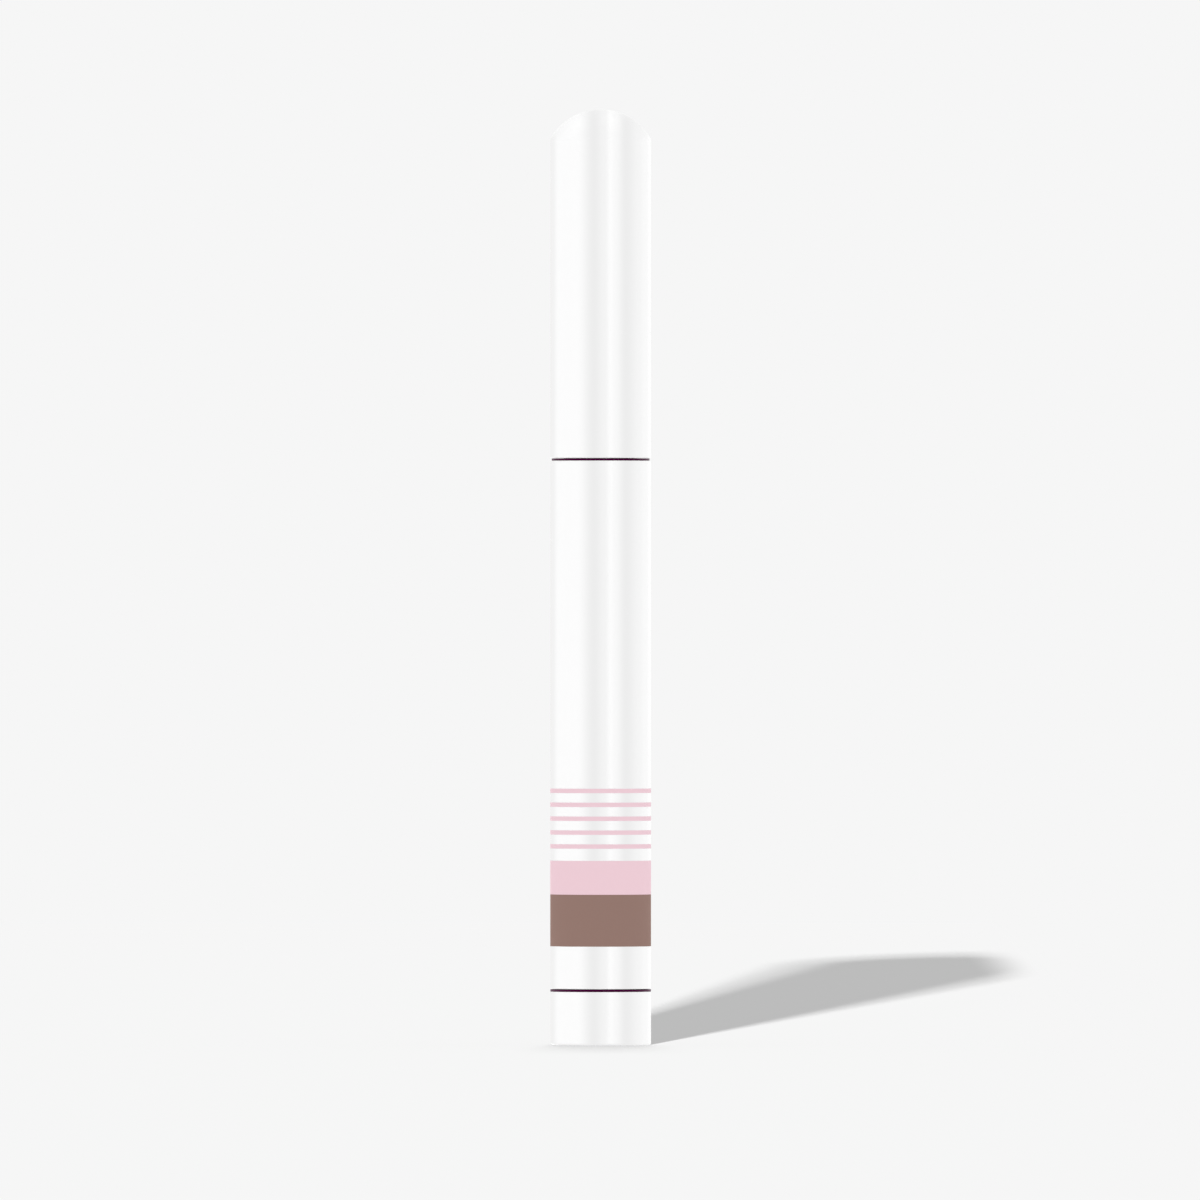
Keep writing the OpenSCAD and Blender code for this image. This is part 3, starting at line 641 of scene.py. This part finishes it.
def with_poles(profile, first, last):
    """A profile closed on the axis by one more point at each end, facing along the axis."""
    points, normals = profile
    return (np.vstack([[(0, first)], points, [(0, last)]]),
            np.vstack([[normals[0]], normals, [normals[-1]]]))


def knob_surface():
    """Out from the gate mark, over the foot's ring, up the side and down the ribbed bore."""
    radius, foot, top = levels("knob")
    gate_z = HOLLOW_Z - GATE_H
    points, normals = with_poles(rounded([
        (0, gate_z, 0), (GATE_R, gate_z, FINE), (GATE_R, HOLLOW_Z, FINE), (HOLLOW_R, HOLLOW_Z, SOFT),
        (HOLLOW_R, foot, RIM_R), (radius, foot, FOOT_R), (radius, top, LOW_SEAM_R),
        (SHAFT_R, top, EDGE_R), (SHAFT_R, FLOOR_Z, SOFT), (0, FLOOR_Z, 0)]), gate_z, FLOOR_Z)
    angles, on_rib = notch_angles(RIBS, np.arcsin(RIB_W / 2 / SHAFT_R))
    bore = (points[:, 0] > SHAFT_R - SOFT - SLACK) & (points[:, 0] < SHAFT_R + EDGE_R + SLACK)
    bore &= points[:, 1] > FLOOR_Z - SLACK
    return turned((points, normals), angles, -RIB_DEPTH * bore[:, None] * on_rib)


make_piece("white_knob", "turning_foot", "knob", gloss_white, knob_surface())

# %% [markdown]
# ## Nozzle
#
# Under the cap a plug closes the neck, a flange sits on the neck's end, and a cone narrows to the
# tip that holds the brush. It is natural polypropylene, slightly milky. The whole of it is one
# profile with a groove for the O-ring and a bore that narrows for the tuft.

# %% Nozzle
PLUG_R, GROOVE_R, GROOVE_LOW, GROOVE_HIGH = 4.14, 3.46, 85.3, 86.1
FLANGE_LOW, FLANGE_TOP = 88.72, 89.7
CONE_R, CONE_FOOT, CONE_END, TIP_R = 3.36, 91.1, 99.7, 1.9
CONE_BEND, TIP_BEND = 0.5, 1.5
INLET_R, SEAT_R, TIP_BORE = 3.06, 2.219, 1.46
INLET_END, SEAT_LOW, SEAT_TOP = 85.7, 88.7, 94.7


def nozzle_profile():
    """Down the bore, round the plug and its groove, over the flange and up the cone to the tip."""
    flange, foot, top = levels("nozzle")
    return ring_profile([
        (INLET_R, foot, SOFT), (PLUG_R, foot, EDGE_R), (PLUG_R, GROOVE_LOW, FINE),
        (GROOVE_R, GROOVE_LOW, FINE), (GROOVE_R, GROOVE_HIGH, FINE), (PLUG_R, GROOVE_HIGH, FINE),
        (PLUG_R, FLANGE_LOW, FINE), (flange, FLANGE_LOW, FINE), (flange, FLANGE_TOP, 3 * FINE),
        (CONE_R, FLANGE_TOP, 2 * SOFT), (CONE_R, CONE_FOOT, CONE_BEND), (TIP_R, CONE_END, TIP_BEND),
        (TIP_R, top, EDGE_R), (TIP_BORE, top, SOFT), (TIP_BORE, SEAT_TOP, FINE),
        (SEAT_R, SEAT_TOP, FINE), (SEAT_R, SEAT_LOW, 3 * SOFT), (INLET_R, INLET_END, 3 * SOFT)])


make_piece("brush_nozzle", "pen_barrel", "nozzle", natural,
           turned(nozzle_profile()))

# %% [markdown]
# ## Brush
#
# The brush is hundreds of nylon filaments round a thin feed tube. They leave the nozzle packed,
# spread a little, and close to a soft point, and the ones at the rim end first. A hair system could
# grow them, but an exported part needs real geometry, so each filament is a five-sided tube with a
# dozen levels. All of them are computed at once, as one array of filament by level by side. Each
# keeps its own tone, darker towards its root, which its finish reads as an attribute.

# %% Brush
BRISTLES, BRISTLE_LEVELS, BRISTLE_SIDES = 900, 12, 5
BRISTLE_R = 0.036
FEED_R = 0.62
TUFT_R, TUFT_FOOT, ROOT_RISE = 1.4, 93.7, 0.6
GOLDEN = np.radians(137.508)
RIM_SHORTER, END_SCATTER = 0.26, 0.05
WIDTHS = [0, 0.28, 0.6, 1], [1, 1.18, 1.04, 0.42]
CLOSINGS = [0, 0.28, 0.6, 1], [0, 0, 0.5, 1]
TAPERS = [0, 0.5, 0.9, 1], [1, 0.95, 0.7, 0.45]
TWIST, STRAY, WIDEST = 0.25, 0.09, 1.17
ROOT_TONE, TONE_SPREAD = 0.72, 0.3
DISC_H, DISC_EDGE = 0.98, 0.08
SEED = 11


def brush_surface():
    """Filaments as tubes on a sunflower pattern, closing on the axis as they rise.

    Filament i starts sqrt(share of i) of the way out, at i golden angles. At a share of the brush's
    height its distance from the axis is scaled by the tuft's width there, and the room of the feed
    tube is given back as it closes. A slow bend of its own grows with the square of the height.
    Gives the points, normals and faces, and the tone of each point.
    """
    rng = np.random.default_rng(SEED)
    top, nozzle_top = levels("brush_tuft")[2], levels("nozzle")[2]
    share = (np.arange(BRISTLES) + 0.5) / BRISTLES
    inner = FEED_R + BRISTLE_R
    start = np.sqrt(inner**2 + ((TUFT_R - BRISTLE_R)**2 - inner**2) * share)
    ends = (1 - RIM_SHORTER * share**2) * (1 - END_SCATTER * rng.random(BRISTLES)**2)
    ends /= ends.max()
    climb = np.linspace(0, 1, BRISTLE_LEVELS)[None]
    base = TUFT_FOOT + ROOT_RISE
    height = base + climb * (nozzle_top + ends[:, None] * (top - nozzle_top) - base)
    rise = np.clip((height - nozzle_top) / (top - nozzle_top), 0, 1)
    width, closing, taper = [np.interp(rise, *table) for table in (WIDTHS, CLOSINGS, TAPERS)]
    distance = width * np.sqrt(np.maximum(start[:, None]**2 - closing * inner**2, 0))
    angle = GOLDEN * np.arange(BRISTLES)[:, None] + TWIST * (rng.random((BRISTLES, 1)) - 0.5) * rise
    bend = STRAY * rng.standard_normal((BRISTLES, 2))[:, None] * (rise**2)[..., None]
    middle = np.stack([distance * np.cos(angle), distance * np.sin(angle)], -1) + bend
    reach = np.linalg.norm(middle, axis=-1, keepdims=True)
    middle *= np.minimum(1, (TUFT_R * WIDEST) / np.maximum(reach, TINY))
    around = 2 * np.pi / BRISTLE_SIDES * np.arange(BRISTLE_SIDES)
    outward = np.stack([np.cos(around), np.sin(around)], -1)
    sides = middle[:, :, None] + (BRISTLE_R * taper)[..., None, None] * outward
    spots = np.concatenate([sides, np.repeat(height[..., None, None], BRISTLE_SIDES, 2)], -1)
    tone = ROOT_TONE + (1 - ROOT_TONE) * rise**0.5 + TONE_SPREAD * (rng.random((BRISTLES, 1)) - 0.5)
    number = np.arange(spots[..., 0].size).reshape(BRISTLES, BRISTLE_LEVELS, BRISTLE_SIDES)
    after = np.roll(number, -1, 2)
    walls = np.stack([number[:, :-1], after[:, :-1], after[:, 1:], number[:, 1:]], -1)
    faces = walls.reshape(-1, 4).tolist() + number[:, 0, ::-1].tolist() + number[:, -1].tolist()
    facing = np.broadcast_to(np.append(outward, np.zeros((BRISTLE_SIDES, 1)), 1), spots.shape)
    surface = spots.reshape(-1, 3), facing.reshape(-1, 3), faces
    return surface, np.repeat(tone[..., None], BRISTLE_SIDES, 2).ravel()


def tuft_foot():
    """The fused disc at the tuft's foot, which the nozzle holds."""
    radius, foot, _ = levels("brush_tuft")
    head = foot + DISC_H
    return turned(ring_profile([(FEED_R, foot, DISC_EDGE), (radius, foot, DISC_EDGE),
                                (radius, head, DISC_EDGE), (FEED_R, head, DISC_EDGE)]))


def tone_by_attribute(material, attribute):
    """Multiply a finish's colour by a number that the mesh keeps at each point."""
    tree = material.node_tree
    color = tree.nodes["Principled BSDF"].inputs["Base Color"]
    tone = add(tree, "ShaderNodeAttribute", attribute_name=attribute).outputs["Fac"]
    toned = add(tree, "ShaderNodeVectorMath", {0: color.links[0].from_socket, 1: tone},
                operation="MULTIPLY")
    tree.links.new(toned.outputs[0], color)


bristle = make_finish("bristle", (0.88, 0.83, 0.73), 0.35, 0.45, drift=0.02)
tone_by_attribute(bristle, "tone")
filaments, tones = brush_surface()
foot_disc = tuft_foot()
brush = make_piece("oil_brush", "pen_barrel", "brush_tuft", bristle,
                   stacked([filaments, foot_disc]))
tones = np.append(tones, np.full(len(foot_disc[0]), ROOT_TONE))
brush.data.attributes.new("tone", "FLOAT", "POINT").data.foreach_set("value", tones)
print("filaments:", BRISTLES, "tones:", tones.min().round(2), "to", tones.max().round(2))

# %% [markdown]
# ## Piston
#
# The piston pushes the oil. Its two lips and the ring between them wipe the chamber's wall, and the
# socket in its middle snaps over the screw's head. It is hidden in the white barrel, and is drawn as
# one turned surface with every edge moulded round.

# %% Piston
THROAT_R, SOCKET_R, TOWER_R, SKIRT_R = 1.18, 1.78, 2.68, 4.4
SOCKET_Z, SOCKET_TOP, WEB_Z = 41.94, 43.7, 44.7
LIP_H, RELIEF, RELIEF_TOP = 0.7, 0.25, 45.39
RING_R, RING_LOW, RING_HIGH = 4.9, 46.24, 47.04
NOSE_R, CROWN_Z = 3.2, 48.64
GROOVE_EDGE_R = 0.02


def piston_profile():
    """Up the side over both lips and the ring's groove, over the nose, and down into the socket."""
    lip, foot, top = levels("piston")
    return with_poles(rounded([
        (0, SOCKET_TOP, 0), (SOCKET_R, SOCKET_TOP, SOFT), (SOCKET_R, SOCKET_Z, SOFT),
        (THROAT_R, SOCKET_Z, SOFT), (THROAT_R, foot, SOFT), (TOWER_R, foot, SOFT),
        (TOWER_R, WEB_Z, 2 * SOFT), (SKIRT_R, WEB_Z, 2 * SOFT), (SKIRT_R, foot, SOFT),
        (lip, foot, RIM_R), (lip, foot + LIP_H, RIM_R), (lip - RELIEF, foot + LIP_H + RELIEF, RIM_R),
        (lip - RELIEF, RELIEF_TOP, SOFT), (lip - RELIEF / 2, RELIEF_TOP + RELIEF, SOFT),
        (lip, RING_LOW - SOFT, GROOVE_EDGE_R), (lip, RING_LOW, GROOVE_EDGE_R),
        (RING_R, RING_LOW, FINE), (RING_R, RING_HIGH, FINE), (lip, RING_HIGH, RIM_R),
        (lip, CROWN_Z, 3 * FINE), (NOSE_R, top, 4 * SOFT), (0, top, 0)]), SOCKET_TOP, top)


make_piece("oil_plunger", "oil_piston", "piston", natural,
           turned(piston_profile()))

# %% [markdown]
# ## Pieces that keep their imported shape
#
# The inner cap with its fins, the seals, the screw, the nut, the ratchet and the rest already have
# the right shape. Each only gets the finish of its plastic or rubber in place of its plain colour.

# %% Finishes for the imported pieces
PACKED = {
    natural: ["cap_liner", "feed_tube"],
    rubber: ["cap_seal", "nozzle_seal_ring", "piston_seal_ring"],
    acetal: ["tuft_retainer", "lead_screw", "drive_nut", "ratchet_ring", "click_spring",
             "drive_sleeve", "bearing_bush"],
}
for material, names in PACKED.items():
    for name in names:
        frame["nodes"][name].data.materials.clear()
        frame["nodes"][name].data.materials.append(material)
print("packed pieces finished:", sum(len(names) for names in PACKED.values()))

# %% [markdown]
# ## Studio
#
# The picture has a plain pale ground, a soft light from all round, and one long soft-edged shadow that
# runs off to the right and widens as it goes, as only a small lamp close to the pen can throw it. A
# white thing on a pale ground is drawn by its reflections: narrow lights stand along both sides and
# show as bright streaks with soft darker bands between them. They lie in the world as a band pattern
# that only glossy rays see, so the diffuse light stays even, and a colour renders as it is written.
#
# A surface whose normal points nx to the side reflects the world from the direction d, for a viewer
# in front, where nx = d.x / sqrt(2 (1 - d.y)). So strips of equal nx show as straight streaks on a
# cylinder. On the dome the same nx lies a little farther out, which the strips allow for, so that a
# streak runs straight on over it. A viewer who looks down on the pen sees the part of the world below
# the horizon in its sides. There the strips stand at even strength all round, weaker, because they
# are seen from every side and a reflection grows towards the pen's edges.

# %% World
PALE = 0.9216
STREAKS = [(-1.0, 0.0), (-0.96, 0.03), (-0.84, 0.1), (-0.46, 0.128), (-0.13, 0.0), (0.08, 0.058),
           (0.2, 0.14), (0.28, 0.102), (0.5, 0.0), (0.76, 0.055), (0.9, 0.085), (0.98, 0.15),
           (1.0, 0.12)]
STREAK_TOP = 0.15
AROUND = [(-1.0, 0.0), (-0.96, 0.0), (-0.88, 1.0), (-0.8, 0.4), (-0.74, 0.0), (-0.64, 0.0),
          (-0.5, 0.9), (-0.3, 1.0), (-0.1, 0.0), (0.02, 0.0), (0.14, 1.0), (0.22, 0.7), (0.34, 0.0),
          (0.5, 0.0), (0.62, 1.0), (0.7, 0.6), (0.8, 0.0), (0.86, 0.0), (0.93, 0.6), (1.0, 0.0)]
AROUND_TOP = 1.4
LEVEL_VIEW, RAISED_VIEW = -0.06, -0.16
HIGH_VIEW, TOP_VIEW, TOP_SHARE = -0.4, -0.9, 0.2
PEN_R = levels("cap_shell")[0]
DOME_R = (PEN_R**2 + DOME_RISE**2) / (2 * DOME_RISE)
DOME_NZ = np.sin(np.arccos((PEN_R - SHOULDER_R) / (DOME_R - SHOULDER_R)))
DOME_DIM = 0.12
HEAD_ON, SCHLICK_POWER = 0.04, 5.0


def light_ramp(tree, place, stops, top):
    """Light along a line from -1 to 1: soft steps between stops of (place, light), up to top."""
    ramp = add(tree, "ShaderNodeValToRGB", {0: calc(tree, "MULTIPLY_ADD", place, 0.5, 0.5)})
    ramp.color_ramp.interpolation = "EASE"
    made = ramp.color_ramp.elements
    for spot, (at, light) in enumerate(stops):
        stop = made[0] if spot == 0 else made[-1] if at == 1 else made.new(0.5 + at / 2)
        stop.position = 0.5 + at / 2
        stop.color = (*3 * [light / top], 1)
    return calc(tree, "MULTIPLY", ramp.outputs[0], top)


def front_strips(tree, toward):
    """Light of the strips that a level viewer in front sees in the plastic.

    The half-way vector's x picks the strip, scaled by the dome's radius over the pen's where its z
    shows that the dome is meant. What the plastic then gives back of it is divided out, by Schlick's
    formula f + (1 - f) (1 - c)^5, where f is what it gives back head on and c = sqrt((1 - y) / 2) is
    the cosine of the angle to the normal. So a strip is as strong high up on the dome as on the side.
    """
    ahead = calc(tree, "MULTIPLY_ADD", toward[1], -2.0, 2.0)
    length = calc(tree, "SQRT", calc(tree, "MAXIMUM", ahead, TINY))
    climb = calc(tree, "DIVIDE", calc(tree, "DIVIDE", toward[2], length), DOME_NZ, clamp=True)
    climb = calc(tree, "MULTIPLY", climb, climb)
    spread = calc(tree, "MULTIPLY_ADD", climb, DOME_R / PEN_R - 1, 1.0)
    sideways = calc(tree, "MULTIPLY", calc(tree, "DIVIDE", toward[0], length), spread)
    light = light_ramp(tree, sideways, STREAKS, STREAK_TOP)
    light = calc(tree, "MULTIPLY", light, calc(tree, "MULTIPLY_ADD", climb, -DOME_DIM, 1.0))
    slant = calc(tree, "MULTIPLY_ADD", length, -0.5, 1.0, clamp=True)
    slant = calc(tree, "POWER", slant, SCHLICK_POWER)
    return calc(tree, "DIVIDE", light, calc(tree, "MULTIPLY_ADD", slant, 1 - HEAD_ON, HEAD_ON))


def around_strips(tree, toward):
    """Light of the strips all round, by the direction's angle from the front over half a turn."""
    angle = calc(tree, "ARCTAN2", toward[0], calc(tree, "MULTIPLY", toward[1], -1.0))
    share = calc(tree, "DIVIDE", angle, np.pi)
    return calc(tree, "MULTIPLY", light_ramp(tree, share, AROUND, 1.0), AROUND_TOP)


def make_world():
    """Even pale light, with strips added for glossy rays only."""
    world = bpy.data.worlds.new("pale studio")
    bpy.context.scene.world = world
    world.use_nodes = True
    world.cycles.sampling_method = "NONE"
    tree = world.node_tree
    tree.nodes.clear()
    place = add(tree, "ShaderNodeTexCoord").outputs["Generated"]
    toward = add(tree, "ShaderNodeSeparateXYZ", {0: place}).outputs
    level = soft_step(tree, toward[2], RAISED_VIEW, LEVEL_VIEW)
    raised = calc(tree, "MULTIPLY", calc(tree, "SUBTRACT", 1.0, level),
                  soft_step(tree, toward[2], TOP_VIEW, HIGH_VIEW, low=TOP_SHARE))
    front = calc(tree, "MULTIPLY", front_strips(tree, toward), level)
    both = calc(tree, "MULTIPLY_ADD", around_strips(tree, toward), raised, front)
    glossy = add(tree, "ShaderNodeLightPath").outputs["Is Glossy Ray"]
    total = calc(tree, "MULTIPLY_ADD", both, glossy, PALE)
    light = add(tree, "ShaderNodeBackground", {"Color": (1, 1, 1, 1), "Strength": total})
    add(tree, "ShaderNodeOutputWorld", {"Surface": light.outputs[0]})


make_world()
bpy.context.scene.view_settings.view_transform = "Standard"
print("stops of light ahead:", len(STREAKS), "all round:", len(AROUND))

# %% [markdown]
# The floor is as bright as the ground in the picture where all the lamps and the pale light reach it,
# and falls to the shadow's grey where the key lamp doesn't. The key lamp is a small ring of bulbs less
# than half a metre in front of the pen, a little to the left and a little higher than its top. So near
# a lamp would light the floor in a pool, so its strength follows the distance that its light has gone,
# and the ground stays even. A row of back lamps, like a strip light that leans from overhead towards
# the back, lays the soft dark line in front of the foot that makes the pen stand.
#
# The lamps light nothing but the floor, and the floor keeps its shadows for the camera alone: the
# plastic above it sees an even pale ground, so it neither clips nor greys near the foot. Behind the
# end of the shadow the floor turns into plain pale light, and no horizon shows. It does so to the
# right of that end too, which leaves the shadow blunt instead of drawn out to a spike. Every bulb and
# lamp adds about the same share, so the renderer may pick each one as often as the others. Its light
# tree, which would favour the nearest, is switched off, and the ground comes out without grain.

# %% Floor and lamps
SHADOW_GREY = 0.503
BACK_SHARE = 0.2
BACK_ANGLE = np.radians(6)
BACK_LEANS = np.radians([5, 11, 18, 25, 32])
FLOOR_COLOR = (SHADOW_GREY - BACK_SHARE) / PALE
FLOOR_R, FLOOR_SIDES = 12.0, 96
FADE_START, FADE_END = 1.15, 1.6
SIDE_START, SIDE_END = 61 * MM, 72 * MM
KEY_PLACE = Vector((-25.1, -429.3, 181.3)) * MM
KEY_BULBS, KEY_RING_R, KEY_BULB_R = 10, 2.4 * MM, 1.2 * MM
KEY_GROWTH = 3.0


def make_floor():
    """A pale disc that keeps the shadow and fades to even light far away and to the right."""
    material = bpy.data.materials.new("pale floor")
    material.cycles.emission_sampling = "NONE"
    material.use_nodes = True
    tree = material.node_tree
    tree.nodes.clear()
    place = add(tree, "ShaderNodeTexCoord").outputs["Object"]
    away = add(tree, "ShaderNodeVectorMath", {0: place}, operation="LENGTH").outputs["Value"]
    aside = add(tree, "ShaderNodeSeparateXYZ", {"Vector": place}).outputs["X"]
    faded = calc(tree, "MAXIMUM", soft_step(tree, away, FADE_START, FADE_END),
                 soft_step(tree, aside, SIDE_START, SIDE_END))
    matt = add(tree, "ShaderNodeBsdfDiffuse", {"Color": shade(3 * [FLOOR_COLOR], 1)})
    glow = add(tree, "ShaderNodeEmission", {"Color": (1, 1, 1, 1), "Strength": PALE})
    seen = add(tree, "ShaderNodeLightPath").outputs["Is Camera Ray"]
    even = calc(tree, "MAXIMUM", faded, calc(tree, "SUBTRACT", 1.0, seen))
    mixed = add(tree, "ShaderNodeMixShader", {0: even, 1: matt.outputs[0], 2: glow.outputs[0]})
    add(tree, "ShaderNodeOutputMaterial", {"Surface": mixed.outputs[0]})
    angles = np.linspace(0, 2 * np.pi, FLOOR_SIDES, endpoint=False)
    rim = np.stack([np.cos(angles), np.sin(angles), 0 * angles], -1) * FLOOR_R
    mesh = bpy.data.meshes.new("floor")
    mesh.from_pydata(rim.tolist(), [], [list(range(len(rim)))])
    mesh.materials.append(material)
    floor = placed("floor", mesh)
    floor.visible_glossy = False
    return floor


def hang_lamp(data, place, lit):
    """Hang a lamp that lights only what a collection holds, and that isn't seen itself."""
    lamp = placed(data.name, data)
    lamp.location = place
    lamp.visible_camera = lamp.visible_glossy = False
    lamp.light_linking.receiver_collection = lit
    return lamp


def make_key_bulb(place, lit):
    """A small near bulb that adds its part of the key light to the floor, the same near and far.

    A bulb of power P at a height h gives a matt floor of colour a, at a distance r from the bulb,
    the light a P h / (4 pi^2 r^3). So its strength grows with r^3, and P follows from the share.
    """
    data = bpy.data.lights.new("key bulb", "POINT")
    data.shadow_soft_size = KEY_BULB_R
    share = (PALE - SHADOW_GREY) / KEY_BULBS
    data.energy = share * 4 * np.pi**2 / (FLOOR_COLOR * place.z)
    data.use_nodes = True
    tree = data.node_tree
    gone = add(tree, "ShaderNodeLightPath").outputs["Ray Length"]
    tree.links.new(calc(tree, "POWER", gone, KEY_GROWTH), tree.nodes["Emission"].inputs["Strength"])
    hang_lamp(data, place, lit)


def make_back_lamp(lean, lit):
    """A narrow sun lamp that leans back from overhead and adds its part of the back light.

    A matt floor of colour a gives back a E cos(lean) / pi of a sun of strength E, so E follows.
    """
    data = bpy.data.lights.new("back lamp", "SUN")
    data.angle = BACK_ANGLE
    data.energy = BACK_SHARE / len(BACK_LEANS) * np.pi / (FLOOR_COLOR * np.cos(lean))
    lamp = hang_lamp(data, Vector((0, np.sin(lean), np.cos(lean))), lit)
    lamp.rotation_euler = (-lamp.location).to_track_quat("-Z", "Y").to_euler()


bpy.context.scene.cycles.use_light_tree = False
floor_only = bpy.data.collections.new("lit by the lamps")
floor_only.objects.link(make_floor())
for turn in 2 * np.pi / KEY_BULBS * np.arange(KEY_BULBS):
    ring_spot = KEY_RING_R * Vector((np.cos(turn), 0, np.sin(turn)))
    make_key_bulb(KEY_PLACE + ring_spot, floor_only)
for lean in BACK_LEANS:
    make_back_lamp(lean, floor_only)
print("bulbs in the key lamp:", KEY_BULBS, "back lamps:", len(BACK_LEANS))
